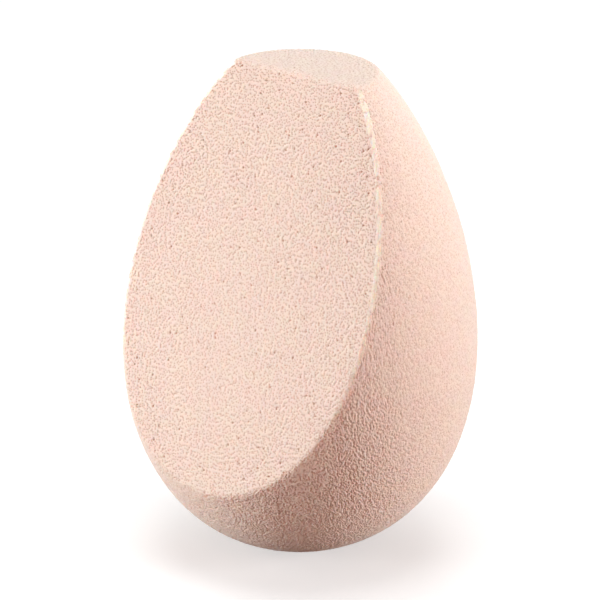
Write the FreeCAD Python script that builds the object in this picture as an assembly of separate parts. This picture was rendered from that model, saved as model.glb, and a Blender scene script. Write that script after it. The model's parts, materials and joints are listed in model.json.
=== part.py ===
import FreeCAD, Part
import os

# A makeup sponge: one egg of soft foam, standing on its round end with the narrow end up.
# One slanted cut makes a large flat face on the front, and one level cut trims the narrow end.
# The egg's axis is Z, the round end's lowest point is the origin, and the slanted face looks to -Y.

# The egg
SPONGE_HEIGHT = 60.0           # from the lowest point up to the level cut
EGG_DIAMETER = 43.0            # across the widest level
ROUND_END_HEIGHT = 26.0        # from the lowest point up to the widest level
TIP_TRIM = 5.3                 # how much of the pointed tip the level cut takes off

# How far each end's outline swells: 0.55 is an ellipse, less is slimmer and more is fuller
ROUND_END_FULLNESS_SHARE = 0.61
NARROW_END_FULLNESS_SHARE = 0.47

# The slanted cut
SLANT_DEPTH = 13.5             # from the egg's axis to the slanted face, at the widest level
SLANT_ANGLE = 20.6             # degrees between the slanted face and the egg's axis

# The soft edge that the foam has around both cuts
EDGE_RADIUS = 0.7

# How far a cutting block reaches past the egg
CUT_OVERRUN = 5.0

RIGHT_ANGLE = 90
FULL_TURN = 360


def point(x, y, z):
    return FreeCAD.Vector(x, y, z)


def quarter_outline(pole, belt, fullness_share):
    """One smooth quarter of the egg's outline, level at the pole and upright at the belt."""
    pole_handle = point(pole.x + (belt.x - pole.x) * fullness_share, 0, pole.z)
    belt_handle = point(belt.x, 0, belt.z + (pole.z - belt.z) * fullness_share)
    curve = Part.BezierCurve()
    curve.setPoles([pole, pole_handle, belt_handle, belt])
    return curve.toShape()


def whole_egg():
    """The egg before it is cut, as its half outline turned about the Z axis."""
    bottom = point(0, 0, 0)
    belt = point(EGG_DIAMETER / 2, 0, ROUND_END_HEIGHT)
    tip = point(0, 0, SPONGE_HEIGHT + TIP_TRIM)
    round_end = quarter_outline(bottom, belt, ROUND_END_FULLNESS_SHARE)
    narrow_end = quarter_outline(tip, belt, NARROW_END_FULLNESS_SHARE)
    axis = Part.LineSegment(tip, bottom).toShape()
    outline = Part.Wire(Part.__sortEdges__([round_end, narrow_end, axis]))
    return Part.Face(outline).revolve(bottom, point(0, 0, 1), FULL_TURN)


def cutting_block(across, height):
    """A square block that stands on the level plane, with the middle of its underside at the origin."""
    corner = point(-across / 2, -across / 2, 0)
    return Part.makeBox(across, across, height, corner)


def level_cut():
    """The block that takes the tip off."""
    block = cutting_block(EGG_DIAMETER + 2 * CUT_OVERRUN, TIP_TRIM + CUT_OVERRUN)
    block.translate(point(0, 0, SPONGE_HEIGHT))
    return block


def slanted_cut():
    """The block that leaves the large face, turned until its underside leans back from the front."""
    block = cutting_block(2 * (SPONGE_HEIGHT + TIP_TRIM + CUT_OVERRUN), EGG_DIAMETER + CUT_OVERRUN)
    block.rotate(point(0, 0, 0), point(1, 0, 0), RIGHT_ANGLE - SLANT_ANGLE)
    block.translate(point(0, -SLANT_DEPTH, ROUND_END_HEIGHT))
    return block


def flat_faces(shape):
    return [face for face in shape.Faces if isinstance(face.Surface, Part.Plane)]


def cut_edges(shape):
    """The edges around the flat faces, each one once: the only ones that the cuts leave sharp."""
    edges = []
    for face in flat_faces(shape):
        for edge in face.Edges:
            if not any(edge.isSame(other) for other in edges):
                edges.append(edge)
    return edges


def foam_body():
    cut_egg = whole_egg().cut([level_cut(), slanted_cut()]).Solids[0]
    return cut_egg.makeFillet(EDGE_RADIUS, cut_edges(cut_egg))


def rounded(vector):
    return [round(value, 3) for value in vector]


def main():
    os.makedirs("parts", exist_ok=True)
    foam = foam_body()
    foam.exportStep("parts/foam_body.step")
    box = foam.optimalBoundingBox(False)
    print("foam_body: valid", foam.isValid(), "solids", len(foam.Solids), "volume", round(foam.Volume, 1))
    print("lowest corner", rounded((box.XMin, box.YMin, box.ZMin)))
    print("highest corner", rounded((box.XMax, box.YMax, box.ZMax)))
    for face in flat_faces(foam):
        print("flat face centred on", rounded(face.CenterOfMass), "looking to", rounded(face.normalAt(0, 0)),
              "area", round(face.Area, 1))


main()
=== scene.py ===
# %% [markdown]
# # A makeup sponge
# The object is one block of soft peach foam: an egg that stands on its round end, with a large
# slanted cut on the front and a small level cut at the tip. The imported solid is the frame: it says
# how big the sponge is and where its cuts are. Blender adds what the solid lacks, which is the foam
# itself: thousands of small open pores, soft edges and a matte, slightly translucent finish.

# %% Load the frame
import bmesh
import bpy
import json
import math
import numpy as np
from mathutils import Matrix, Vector


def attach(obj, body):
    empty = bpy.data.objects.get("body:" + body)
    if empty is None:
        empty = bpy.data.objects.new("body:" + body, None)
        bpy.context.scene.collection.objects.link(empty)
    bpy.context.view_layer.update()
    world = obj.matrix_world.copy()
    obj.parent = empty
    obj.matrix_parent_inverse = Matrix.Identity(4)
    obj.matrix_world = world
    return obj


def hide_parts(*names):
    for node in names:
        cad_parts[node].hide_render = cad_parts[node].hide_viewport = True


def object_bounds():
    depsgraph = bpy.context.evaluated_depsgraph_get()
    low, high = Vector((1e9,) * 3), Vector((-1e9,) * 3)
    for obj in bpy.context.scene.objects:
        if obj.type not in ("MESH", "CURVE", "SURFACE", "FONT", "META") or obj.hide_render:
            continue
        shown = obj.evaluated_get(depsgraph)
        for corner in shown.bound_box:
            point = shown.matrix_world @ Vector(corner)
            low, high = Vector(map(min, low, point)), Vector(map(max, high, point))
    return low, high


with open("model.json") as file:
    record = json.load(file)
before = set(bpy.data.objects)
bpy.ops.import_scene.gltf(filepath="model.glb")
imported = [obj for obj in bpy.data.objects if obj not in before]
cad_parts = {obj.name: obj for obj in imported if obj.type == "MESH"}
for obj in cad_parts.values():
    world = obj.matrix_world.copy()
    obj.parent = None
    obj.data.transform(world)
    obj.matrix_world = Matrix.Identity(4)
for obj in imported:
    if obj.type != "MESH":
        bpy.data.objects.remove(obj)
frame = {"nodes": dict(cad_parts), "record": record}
cad_low, cad_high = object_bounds()
bpy.ops.object.select_all(action="DESELECT")

MM = 0.001
scene = bpy.context.scene
scene.view_settings.view_transform = "Standard"
solid = frame["nodes"]["foam_body"]
mounts = {mount["name"]: mount for mount in frame["record"]["mounts"]}
size_mm = [round(side / MM, 2) for side in cad_high - cad_low]
print("solid to dress, in mm:", size_mm, "with mounts", sorted(mounts))

# %% [markdown]
# ## The camera
# The photograph was taken from the front right of the slanted face and a little above, with a long
# lens: the outline shows almost no perspective. A camera could be framed by eye, but the angles below
# come from fitting the egg's outline and the creases of both cuts, so the two pictures can be compared
# point by point. The camera looks straight at a point on the egg's axis, so it needs no shift.

# %% Aim the camera
CAMERA_AZIMUTH = 38.5
CAMERA_ELEVATION = 20.45
CAMERA_DISTANCE = 473 * MM
CAMERA_LENS = 235
AIM_HEIGHT = 31.15 * MM
NEAREST_SEEN_SHARE = 0.01


def direction(azimuth, elevation):
    """The unit vector that points from the sponge to a place this far round from the front and up."""
    turn = math.radians(azimuth)
    rise = math.radians(elevation)
    return Vector((math.sin(turn) * math.cos(rise), -math.cos(turn) * math.cos(rise), math.sin(rise)))


def facing(place, target):
    """The turn that points an object's own -Z axis from a place to a target."""
    return (target - place).to_track_quat("-Z", "Y").to_euler()


aim = Vector((0, 0, AIM_HEIGHT))
camera_place = aim + direction(CAMERA_AZIMUTH, CAMERA_ELEVATION) * CAMERA_DISTANCE
bpy.ops.object.camera_add(location=camera_place, rotation=facing(camera_place, aim))
camera = bpy.context.object
camera.data.lens = CAMERA_LENS
camera.data.clip_start = CAMERA_DISTANCE * NEAREST_SEEN_SHARE
scene.camera = camera
print("camera at", [round(value / MM) for value in camera_place], "mm")

# %% [markdown]
# ## White surroundings
# The photograph has a plain white background. A world that is white for everything would also pour
# light on the foam from all sides and flatten it. So the world is white only where it is looked at,
# and almost dark as a source of light. The Light Path node tells these two apart.

# %% The world
WHITE = (1, 1, 1, 1)
WORLD_FILL = 0.05


def fill_input(tree, socket, value):
    """Links an input to an output, or gives it a plain value."""
    if isinstance(value, bpy.types.NodeSocket):
        tree.links.new(value, socket)
    else:
        socket.default_value = value


def add_node(tree, kind, inputs=None, **settings):
    """Adds a node, sets its options and fills its inputs, which are named or numbered."""
    made = tree.nodes.new(kind)
    for name, value in settings.items():
        setattr(made, name, value)
    for name, value in (inputs or {}).items():
        fill_input(tree, made.inputs[name], value)
    return made


def math_node(tree, operation, first, second):
    """One sum on two values, such as ADD or MAXIMUM."""
    return add_node(tree, "ShaderNodeMath", {0: first, 1: second}, operation=operation).outputs[0]


def seen_directly(tree):
    """1 where the camera sees a surface, also in a mirror or through glass, and 0 for bounced light."""
    path = add_node(tree, "ShaderNodeLightPath").outputs
    either = math_node(tree, "MAXIMUM", path["Is Camera Ray"], path["Is Glossy Ray"])
    return math_node(tree, "MAXIMUM", either, path["Is Transmission Ray"])


def mix_shader(tree, share, first, second):
    """All of the first shader where the share is 0, and all of the second where it is 1."""
    return add_node(tree, "ShaderNodeMixShader", {0: share, 1: first, 2: second}).outputs[0]


world = bpy.data.worlds.new("studio")
world.use_nodes = True
scene.world = world
tree = world.node_tree
dim = tree.nodes["Background"]
dim.inputs["Color"].default_value = WHITE
dim.inputs["Strength"].default_value = WORLD_FILL
white = add_node(tree, "ShaderNodeBackground", {"Color": WHITE, "Strength": 1})
sky = mix_shader(tree, seen_directly(tree), dim.outputs[0], white.outputs[0])
tree.links.new(sky, tree.nodes["World Output"].inputs["Surface"])
print("world of strength 1 to look at and", WORLD_FILL, "as light")

# %% [markdown]
# ## The floor
# The sponge stands on a pale matte floor, which is lifted to almost white by a glow of its own and
# still shows the soft shadow. A plane to the horizon would end in a grey band where the lamps don't
# reach, so the floor fades to plain white a little way out. For bounced light it is darker and warmer,
# like foam-coloured card, or it would fill the underside, which is the darkest foam in the picture.

# %% Lay the floor
FLOOR_SIDE = 4.0
FLOOR_COLOUR = (0.6, 0.6, 0.6, 1)
FLOOR_GLOW = 0.5
FLOOR_BOUNCE_COLOUR = (0.36, 0.28, 0.25, 1)
FLOOR_FADE = (0.12, 0.3)


def ramp(tree, value, start, end, interpolation="SMOOTHSTEP"):
    """A step from 0 where the value is at its start to 1 where it is at its end."""
    limits = {"Value": value, "From Min": start, "From Max": end}
    return add_node(tree, "ShaderNodeMapRange", limits, interpolation_type=interpolation).outputs["Result"]


bpy.ops.mesh.primitive_plane_add(size=FLOOR_SIDE)
floor = bpy.context.object
floor.name = "floor"
paint = bpy.data.materials.new("pale floor")
paint.use_nodes = True
tree = paint.node_tree
tree.nodes.remove(tree.nodes["Principled BSDF"])
matte = add_node(tree, "ShaderNodeBsdfDiffuse", {"Color": FLOOR_COLOUR}).outputs[0]
glow = add_node(tree, "ShaderNodeEmission", {"Strength": FLOOR_GLOW}).outputs[0]
near = add_node(tree, "ShaderNodeAddShader", {0: matte, 1: glow}).outputs[0]
far = add_node(tree, "ShaderNodeEmission", {"Strength": 1}).outputs[0]
spot = add_node(tree, "ShaderNodeTexCoord").outputs["Object"]
away = add_node(tree, "ShaderNodeVectorMath", {0: spot}, operation="LENGTH").outputs["Value"]
seen = mix_shader(tree, ramp(tree, away, *FLOOR_FADE), near, far)
bounce = add_node(tree, "ShaderNodeBsdfDiffuse", {"Color": FLOOR_BOUNCE_COLOUR}).outputs[0]
surface = mix_shader(tree, seen_directly(tree), bounce, seen)
tree.links.new(surface, tree.nodes["Material Output"].inputs["Surface"])
floor.data.materials.append(paint)
print("floor", FLOOR_SIDE, "m square, plain white beyond", FLOOR_FADE[1], "m")

# %% [markdown]
# ## Studio light
# The shading tells where the lamps stood. A lamp low on the left rakes across the slanted face, so
# that its pores show, and a smaller one beside it, lower still, reaches the round end below that face.
# Another low lamp behind the right side brightens that flank, and the darkest foam is the underside
# between them. Others light the tip and the back, and a faint warm one stands for the light that peach
# foam throws back. They could be points, but discs as wide as these give shadows with soft edges.

# %% Set up the lamps
LAMP_WHITE = (1, 1, 1)
LAMP_WARM = (1, 0.25, 0.1)


def add_softbox(name, azimuth, elevation, away, across, watts, colour=LAMP_WHITE):
    """A round lamp at a distance from the sponge, turned to face it, that the camera doesn't see."""
    place = aim + direction(azimuth, elevation) * away
    bpy.ops.object.light_add(type="AREA", location=place, rotation=facing(place, aim))
    lamp = bpy.context.object
    lamp.name = name
    lamp.data.shape = "DISK"
    lamp.data.size = across
    lamp.data.energy = watts
    lamp.data.color = colour
    lamp.visible_camera = False
    print("lamp", name, "of", watts, "W")


add_softbox("raking light", azimuth=-46, elevation=16, away=0.6, across=0.36, watts=1.2)
add_softbox("low front light", azimuth=-38, elevation=5, away=0.5, across=0.14, watts=1.6)
add_softbox("right flank light", azimuth=117, elevation=9, away=0.8, across=0.32, watts=5.2)
add_softbox("tip light", azimuth=0, elevation=90, away=0.8, across=0.6, watts=4.2)
add_softbox("back light", azimuth=-142, elevation=45, away=0.8, across=0.5, watts=1.9)
add_softbox("warm glow", azimuth=62, elevation=14, away=0.8, across=0.6, watts=1.1, colour=LAMP_WARM)

# %% [markdown]
# ## The net of the foam
# A sponge like this is foamed in a mould and then cut. Its mesh could be spun from an outline and
# bisected, but that leaves long thin faces at the poles and along the cuts, and pores need an even
# net of small squares. So the egg starts as a cube. Its six faces also make six plain squares on the
# sheet that the finish is stored in, with no seam in the middle of a flat face's pattern.

# %% A cube with its six patches
PATCH_COLUMNS = 3
PATCH_ROWS = 2
PATCH_MARGIN = 0.01


def lay_out_patches(mesh):
    """Gives each face of the cube its own part of the sheet, with a margin around it."""
    sheet = mesh.uv_layers.active
    sheet.name = "OFBake"
    low, high = PATCH_MARGIN, 1 - PATCH_MARGIN
    corners = [(low, low), (high, low), (high, high), (low, high)]
    for face in mesh.polygons:
        row, column = divmod(face.index, PATCH_COLUMNS)
        for (along, up), loop in zip(corners, face.loop_indices):
            sheet.data[loop].uv = ((column + along) / PATCH_COLUMNS, (row + up) / PATCH_ROWS)


bpy.ops.object.select_all(action="DESELECT")
bpy.ops.mesh.primitive_cube_add(size=2)
sponge = bpy.context.object
sponge.name = "foam_sponge"
lay_out_patches(sponge.data)
print("cube with", len(sponge.data.polygons), "patches on the sheet", sponge.data.uv_layers.active.name)

# %% [markdown]
# A cube that is finely divided and then rounded has large squares in the middle of its faces and
# crowded ones at its corners. Rounding it after each halving keeps the squares nearly alike, because
# every new point starts midway between two that are already on the ball.

# %% Divide the cube and round it
FIRST_CUTS = 2
HALVINGS = 4

bpy.ops.object.mode_set(mode="EDIT")
bpy.ops.mesh.select_all(action="SELECT")
bpy.ops.mesh.subdivide(number_cuts=FIRST_CUTS)
bpy.ops.transform.tosphere(value=1)
for halving in range(HALVINGS):
    bpy.ops.mesh.subdivide(number_cuts=1)
    bpy.ops.transform.tosphere(value=1)
bpy.ops.object.mode_set(mode="OBJECT")
ball_radius = sponge.dimensions.x / 2
print("ball of", len(sponge.data.polygons), "squares and radius", round(ball_radius, 4))

# %% [markdown]
# An egg is a ball with one end drawn out. The whole ball is scaled to the round end, and then the
# upper half alone is stretched up to where the narrow end's point was before the level cut. The egg
# is made a little too large, so that it lies outside the solid everywhere.

# %% Stretch the ball into an egg
BELT_HEIGHT = 26 * MM
TIP_TRIM = 5.3 * MM
SPARE_SHARE = 1.03
JUST_ABOVE_BELT = 0.01 * MM


def select_above(piece, height):
    """In edit mode, selects only the points that are higher than this."""
    shape = bmesh.from_edit_mesh(piece.data)
    for vertex in shape.verts:
        vertex.select_set(vertex.co.z > height)
    shape.select_flush_mode()
    bmesh.update_edit_mesh(piece.data)


belt = (cad_high.x - cad_low.x) / 2 * SPARE_SHARE / ball_radius
round_end = BELT_HEIGHT * SPARE_SHARE / ball_radius
narrow_end = (cad_high.z + TIP_TRIM - BELT_HEIGHT) * SPARE_SHARE / ball_radius
bpy.ops.object.mode_set(mode="EDIT")
bpy.ops.mesh.select_all(action="SELECT")
bpy.ops.transform.resize(value=(belt, belt, round_end), center_override=(0, 0, 0))
bpy.ops.mesh.select_all(action="DESELECT")
select_above(sponge, JUST_ABOVE_BELT)
bpy.ops.transform.resize(value=(1, 1, narrow_end / round_end), center_override=(0, 0, 0))
bpy.ops.mesh.select_all(action="SELECT")
bpy.ops.transform.translate(value=(0, 0, BELT_HEIGHT))
bpy.ops.object.mode_set(mode="OBJECT")
heights = [vertex.co.z for vertex in sponge.data.vertices]
print("egg from", round(min(heights) / MM, 2), "to", round(max(heights) / MM, 2), "mm")

# %% [markdown]
# ## Onto the solid
# Shrinking moves each point to the nearest point of the solid, like a stocking. The cap that the cuts
# take off lands on the flat faces, and some points crowd along the edges, so the net is relaxed and
# shrunk again until it is even. Only then is it divided into squares of about a tenth of a
# millimetre, which is what a pore needs, and smoothed once more to soften the cut edges as foam does.

# %% Shrink the egg onto the solid
RELAX_ROUNDS = 4
RELAX_STEPS = 12
SMOOTHING = 0.5
FINE_LEVELS = 3
SOFTEN_STEPS = 8


def apply_modifier(piece, kind, **settings):
    """Adds one modifier with these settings and applies it at once."""
    bpy.context.view_layer.objects.active = piece
    made = piece.modifiers.new(kind.lower(), kind)
    for name, value in settings.items():
        setattr(made, name, value)
    bpy.ops.object.modifier_apply(modifier=made.name)


def shrink_on(piece):
    """Moves each point of a piece to the nearest point of the solid."""
    apply_modifier(piece, "SHRINKWRAP", target=solid, wrap_method="NEAREST_SURFACEPOINT")


def read_all(collection, field):
    """One number from every face or point of a mesh, as an array."""
    values = np.empty(len(collection), np.float32)
    collection.foreach_get(field, values)
    return values


shrink_on(sponge)
for relax_round in range(RELAX_ROUNDS):
    apply_modifier(sponge, "SMOOTH", factor=SMOOTHING, iterations=RELAX_STEPS)
    shrink_on(sponge)
apply_modifier(sponge, "SUBSURF", levels=FINE_LEVELS, render_levels=FINE_LEVELS)
shrink_on(sponge)
apply_modifier(sponge, "SMOOTH", factor=SMOOTHING, iterations=SOFTEN_STEPS)
bpy.ops.object.shade_smooth()
sides = np.sqrt(read_all(sponge.data.polygons, "area")) / MM
print("net of", len(sides), "squares, from", np.percentile(sides, [1, 50, 99]).round(3), "mm wide")

# %% [markdown]
# ## Cut and uncut foam
# The cuts opened the bubbles and left the two flat faces with plain round holes, while the moulded flank has
# a grainier skin. Both could be painted by hand, but the flat faces are known: the solid's mounts say which
# way they look. So a geometry node tree works out for each point how much it belongs to a cut. The thin pale
# line along the slanted face's edge is a painted highlight, found by its depth below that face: it is
# strongest near the tip, where light falls on the edge from above, and dies out towards the round end.

# %% Find the cut faces and the edge with the painted highlight
CUT_FACING = (0.985, 0.998)
EDGE_DEPTH = (-0.5 * MM, -0.2 * MM)
EDGE_FADE = (18 * MM, 40 * MM)
EDGE_TOP = (59.85 * MM, 59.3 * MM)
EDGE_HIGHLIGHT_BREAKUP_PITCH = 0.8 * MM
EDGE_HIGHLIGHT_BREAKUP = (0.2, 0.5)


def vector_math(tree, operation, first, second, output="Value"):
    """One sum on two vectors, which gives a number or, from the output Vector, a vector."""
    return add_node(tree, "ShaderNodeVectorMath", {0: first, 1: second}, operation=operation).outputs[output]


def noise(tree, place, pitch, detail=0):
    """A soft random field between 0 and 1, with lumps about as wide as the pitch."""
    inputs = {"Vector": place, "Scale": 1 / pitch, "Detail": detail}
    return add_node(tree, "ShaderNodeTexNoise", inputs).outputs[0]


tree = bpy.data.node_groups.new("foam pores", "GeometryNodeTree")
tree.interface.new_socket("Geometry", in_out="INPUT", socket_type="NodeSocketGeometry")
tree.interface.new_socket("Geometry", in_out="OUTPUT", socket_type="NodeSocketGeometry")
place = add_node(tree, "GeometryNodeInputPosition").outputs[0]
normal = add_node(tree, "GeometryNodeInputNormal").outputs[0]
slant = mounts["slanted_face"]
on_slant = ramp(tree, vector_math(tree, "DOT_PRODUCT", normal, slant["axis"]), *CUT_FACING)
on_tip = ramp(tree, vector_math(tree, "DOT_PRODUCT", normal, mounts["tip_face"]["axis"]), *CUT_FACING)
cut = math_node(tree, "MAXIMUM", on_slant, on_tip)

from_slant = vector_math(tree, "SUBTRACT", place, slant["pos_m"], "Vector")
above_slant = vector_math(tree, "DOT_PRODUCT", from_slant, slant["axis"])
height = add_node(tree, "ShaderNodeSeparateXYZ", {0: place}).outputs["Z"]
uncut = math_node(tree, "SUBTRACT", 1, cut)
# The mask of the slanted face's rim, where a pale highlight is painted; it fades towards the round end and
# near the tip's corner, and noise breaks it up.
painted_highlight_edge = math_node(tree, "MULTIPLY", uncut, ramp(tree, above_slant, *EDGE_DEPTH))
painted_highlight_edge = math_node(tree, "MULTIPLY", painted_highlight_edge, ramp(tree, height, *EDGE_FADE))
painted_highlight_edge = math_node(tree, "MULTIPLY", painted_highlight_edge, ramp(tree, height, *EDGE_TOP))
painted_highlight_edge = math_node(tree, "MULTIPLY", painted_highlight_edge, ramp(tree, noise(tree, place, EDGE_HIGHLIGHT_BREAKUP_PITCH), *EDGE_HIGHLIGHT_BREAKUP))
print("slanted face looks to", slant["axis"], "and the tip face to", mounts["tip_face"]["axis"])

# %% [markdown]
# ## Pores
# Open-cell foam is a pack of bubbles. Where its surface passes through a bubble, it leaves a pit, and the
# nearer the bubble's middle is, the wider and deeper the pit. A Voronoi pattern is such a pack, and its
# distance to the nearest cell's centre, read on the surface, gives the pits. They could be a bump in the
# material, but then the outline and the mesh itself would be smooth, so the node tree presses them into the
# mesh.

# %% Pits around the bubbles' middles
PORE_STEEPNESS = 1.7


def bubbles(tree, place, pitch, dimensions="3D"):
    """The distance to the nearest bubble's middle, in pitches."""
    inputs = {"Vector": place, "Scale": 1 / pitch}
    return add_node(tree, "ShaderNodeTexVoronoi", inputs, voronoi_dimensions=dimensions).outputs["Distance"]


def fine_pits(tree, distance, reach):
    """Pits at this distance from the bubbles: 1 at a bubble's middle, falling to 0 at the walls."""
    nearness = ramp(tree, distance, *reach, "LINEAR")
    return math_node(tree, "POWER", nearness, PORE_STEEPNESS)


print("pits fall off with a power of", PORE_STEEPNESS)

# %% [markdown]
# The skin has pits of every size, so its pattern is read in three dimensions, where a bubble may lie
# at any depth. They are deeper on the round end, where the skin is more open. The cut faces have small
# dots that are much alike, with a few larger ones, so there the pattern is flat and each bubble gives
# one dot. For that, both faces are laid out as one sheet, on which a step up or back counts in part,
# so that the slanted face and the tip both keep nearly their true length.

# %% Pores on the skin and on the cuts
SKIN_PORE_PITCH = 0.23 * MM
SKIN_PORE_DEPTH = 0.19 * MM
SKIN_PORE_REACH = (0.65, 0.1)
ROUND_END_PORE_DEPTH = 0.27 * MM
ROUND_END_RANGE = (30 * MM, 10 * MM)
CUT_PORE_PITCH = 0.35 * MM
CUT_PORE_DEPTH = 0.15 * MM
CUT_PORE_REACH = (0.43, 0.06)
LARGE_PORE_PITCH = 1.1 * MM
LARGE_PORE_DEPTH = 0.2 * MM
LARGE_PORE_REACH = (0.17, 0.05)
UNFOLDING = (0, 0.85, 0.75)


def unfolded(tree, place):
    """Where a place lies on the two cut faces, laid out as one flat sheet."""
    across = add_node(tree, "ShaderNodeSeparateXYZ", {0: place}).outputs["X"]
    along = vector_math(tree, "DOT_PRODUCT", place, UNFOLDING)
    return add_node(tree, "ShaderNodeCombineXYZ", {"X": across, "Y": along}).outputs[0]


def mix_value(tree, share, first, second):
    """The first value where the share is 0, changing to the second where it is 1."""
    return add_node(tree, "ShaderNodeMix", {"Factor": share, "A": first, "B": second}).outputs[0]


def pores(tree, place, cut, skin_amount, cut_amount, large_amount):
    """What the pores amount to at a place, on skin or on a cut, where a few bubbles are larger."""
    from_skin_bubbles = bubbles(tree, place, SKIN_PORE_PITCH)
    from_cut_bubbles = bubbles(tree, unfolded(tree, place), CUT_PORE_PITCH, "2D")
    on_skin = math_node(tree, "MULTIPLY", fine_pits(tree, from_skin_bubbles, SKIN_PORE_REACH), skin_amount)
    on_cut = math_node(tree, "MULTIPLY", fine_pits(tree, from_cut_bubbles, CUT_PORE_REACH), cut_amount)
    large = ramp(tree, bubbles(tree, place, LARGE_PORE_PITCH), *LARGE_PORE_REACH)
    opened = math_node(tree, "MAXIMUM", on_cut, math_node(tree, "MULTIPLY", large, large_amount))
    return mix_value(tree, cut, on_skin, opened)


def towards_round_end(tree, place, first, second):
    """The first value on the upper skin, changing to the second on the round end."""
    height = add_node(tree, "ShaderNodeSeparateXYZ", {0: place}).outputs["Z"]
    return mix_value(tree, ramp(tree, height, *ROUND_END_RANGE), first, second)


skin_depth = towards_round_end(tree, place, SKIN_PORE_DEPTH, ROUND_END_PORE_DEPTH)
depth = pores(tree, place, cut, skin_depth, CUT_PORE_DEPTH, LARGE_PORE_DEPTH)
print("pores every", CUT_PORE_PITCH / MM, "mm on the cuts and every", SKIN_PORE_PITCH / MM, "mm on the skin")

# %% [markdown]
# Between its pores the foam isn't smooth: it has a fine grain, stronger on the skin than on the cuts, and a
# slow wave from the mould. A sunken grain alone would make the sponge smaller, so half of it goes inwards
# and half outwards. The edge with the painted highlight is the smoothest place, because it has few open
# pores.

# %% Grain, wave and a smoother edge
NOISE_MIDDLE = 0.5
GRAIN_PITCH = 0.25 * MM
SKIN_GRAIN_DEPTH = 0.15 * MM
CUT_GRAIN_DEPTH = 0.05 * MM
WAVE_PITCH = 7 * MM
WAVE_DEPTH = 0.1 * MM
EDGE_SMOOTHNESS = 0.6


def swell(tree, place, pitch, depth, detail=0):
    """A random rise and fall of the surface, half of it inwards and half outwards."""
    around_zero = math_node(tree, "SUBTRACT", noise(tree, place, pitch, detail), NOISE_MIDDLE)
    return math_node(tree, "MULTIPLY", around_zero, depth)


def lessen(tree, value, share, amount):
    """The value, less this amount of it where the share is 1."""
    return math_node(tree, "MULTIPLY", value, mix_value(tree, share, 1, 1 - amount))


depth = lessen(tree, depth, painted_highlight_edge, EDGE_SMOOTHNESS)
grain_depth = mix_value(tree, cut, SKIN_GRAIN_DEPTH, CUT_GRAIN_DEPTH)
grain = swell(tree, place, GRAIN_PITCH, grain_depth, detail=1)
wave = swell(tree, place, WAVE_PITCH, WAVE_DEPTH)
depth = math_node(tree, "ADD", depth, math_node(tree, "ADD", grain, wave))
print("grain of", SKIN_GRAIN_DEPTH / MM, "mm on the skin and", CUT_GRAIN_DEPTH / MM, "mm on the cuts")

# %% [markdown]
# The tree also keeps three things at each point for the finish: where it was before it sank, so that the
# colour can follow the same bubbles, whether it is cut, and how much of the edge with the painted highlight
# it has.

# %% Press the pores in
PORES_SINK = -1


def keep_value(tree, geometry, name, value, kind="FLOAT"):
    """Stores a value at each point under a name that the finish can read."""
    inputs = {"Geometry": geometry, "Name": name, "Value": value}
    settings = {"data_type": kind, "domain": "POINT"}
    return add_node(tree, "GeometryNodeStoreNamedAttribute", inputs, **settings).outputs[0]


geometry = add_node(tree, "NodeGroupInput").outputs[0]
geometry = keep_value(tree, geometry, "rest_place", place, "FLOAT_VECTOR")
geometry = keep_value(tree, geometry, "cut", cut)
geometry = keep_value(tree, geometry, "painted_highlight_edge", painted_highlight_edge)
sinking = math_node(tree, "MULTIPLY", depth, PORES_SINK)
inward = add_node(tree, "ShaderNodeVectorMath", {0: normal, "Scale": sinking}, operation="SCALE").outputs[0]
pressed = add_node(tree, "GeometryNodeSetPosition", {"Geometry": geometry, "Offset": inward}).outputs[0]
add_node(tree, "NodeGroupOutput", {0: pressed})
apply_modifier(sponge, "NODES", node_group=tree)
for name in ("cut", "painted_highlight_edge"):
    share = read_all(sponge.data.attributes[name].data, "value")
    print(name, "covers", round(float(share.mean()) * 100, 1), "% of the points")

# %% [markdown]
# ## The foam's colour
# The foam is dyed peach right through, and it drifts a little between peach and pink; the walls between the
# pores keep that own colour. Painted light is mixed in as well: painted shade makes the foam deeper and
# warmer inside the pores, most of all towards the round end, and a painted highlight makes it palest along
# the thin cut edge, where light also shines through. A painted picture would blur at this scale, so the
# colour is worked out from the bubbles that also shaped the mesh, at the place each point had before it
# sank.

# %% Mix the colour
WALL_COLOUR = (0.835, 0.705, 0.612, 1)
BLUSH_COLOUR = (0.835, 0.69, 0.618, 1)
# Painted shade: the colour the pits are darkened and warmed towards, as if light were trapped in them.
PIT_SHADE_COLOUR = (0.5, 0.27, 0.16, 1)
# Painted highlight: the pale cream that the thin cut edge is mixed towards.
EDGE_HIGHLIGHT_COLOUR = (0.95, 0.88, 0.78, 1)
BLUSH_PITCH = 2.5 * MM
BLUSH_RANGE = (0.35, 0.65)
# How much painted shade each kind of pit gets.
SKIN_PIT_SHADE = 0.55
# The most painted pit shade is on the round end, the underside, which lies in shade.
ROUND_END_PIT_SHADE = 1.0
CUT_PIT_SHADE = 0.74
LARGE_PIT_SHADE = 0.8
# How much of the painted pit shade is taken away on the painted highlight along the cut edge.
LESS_PIT_SHADE_ON_EDGE = 0.7


def mix_colour(tree, share, first, second):
    """Goes from the first colour to the second. The node takes colours in its inputs 6 and 7."""
    return add_node(tree, "ShaderNodeMix", {0: share, 6: first, 7: second}, data_type="RGBA").outputs[2]


def kept(tree, name, output="Fac"):
    """What the pores' tree stored at each point under this name."""
    return add_node(tree, "ShaderNodeAttribute", attribute_name=name).outputs[output]


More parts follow.
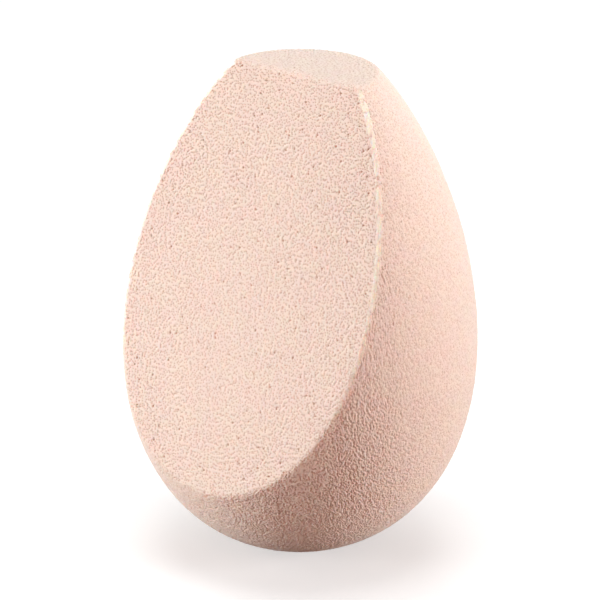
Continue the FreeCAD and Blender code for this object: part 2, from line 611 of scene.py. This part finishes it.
foam = bpy.data.materials.new("peach foam")
foam.use_nodes = True
tree = foam.node_tree
place = kept(tree, "rest_place", "Vector")
painted_highlight_edge = kept(tree, "painted_highlight_edge")
blush = ramp(tree, noise(tree, place, BLUSH_PITCH, detail=1), *BLUSH_RANGE)
walls = mix_colour(tree, blush, WALL_COLOUR, BLUSH_COLOUR)
# Painted highlight along the thin cut edge.
walls = mix_colour(tree, painted_highlight_edge, walls, EDGE_HIGHLIGHT_COLOUR)
# Painted shade in the pits, with less of it on the painted highlight along the edge.
skin_pit_shade = towards_round_end(tree, place, SKIN_PIT_SHADE, ROUND_END_PIT_SHADE)
pit_shade = pores(tree, place, kept(tree, "cut"), skin_pit_shade, CUT_PIT_SHADE, LARGE_PIT_SHADE)
colour = mix_colour(tree, lessen(tree, pit_shade, painted_highlight_edge, LESS_PIT_SHADE_ON_EDGE), walls, PIT_SHADE_COLOUR)
sponge.data.materials.append(foam)
print("walls", WALL_COLOUR[:3], "pores", PIT_SHADE_COLOUR[:3])

# %% [markdown]
# ## The foam's surface
# Foam is matte, and a little light sinks in and comes out again nearby, redder than it went in. The
# finest fuzz on the walls is smaller than the net's squares, so it is the one thing left to a bump.

# %% Finish the surface
FUZZ_PITCH = 0.16 * MM
FUZZ_DEPTH = 0.06 * MM
FINISH = {
    "Roughness": 0.9,
    "Specular IOR Level": 0.2,
    "Sheen Weight": 0.1,
    "Subsurface Radius": (1.0, 0.45, 0.3),
    "Subsurface Scale": 3 * MM,
}
SUBSURFACE = 0.3
EDGE_SUBSURFACE = 0.9

skin = tree.nodes["Principled BSDF"]
for name, value in FINISH.items():
    skin.inputs[name].default_value = value
fuzz = noise(tree, place, FUZZ_PITCH, detail=1)
bump = add_node(tree, "ShaderNodeBump", {"Height": fuzz, "Distance": FUZZ_DEPTH, "Strength": 1}).outputs[0]
tree.links.new(colour, skin.inputs["Base Color"])
tree.links.new(bump, skin.inputs["Normal"])
tree.links.new(mix_value(tree, painted_highlight_edge, SUBSURFACE, EDGE_SUBSURFACE), skin.inputs["Subsurface Weight"])
print("peach foam made of", len(tree.nodes), "nodes")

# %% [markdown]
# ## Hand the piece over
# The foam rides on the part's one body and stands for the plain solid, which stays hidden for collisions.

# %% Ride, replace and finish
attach(sponge, "root")
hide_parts("foam_body")
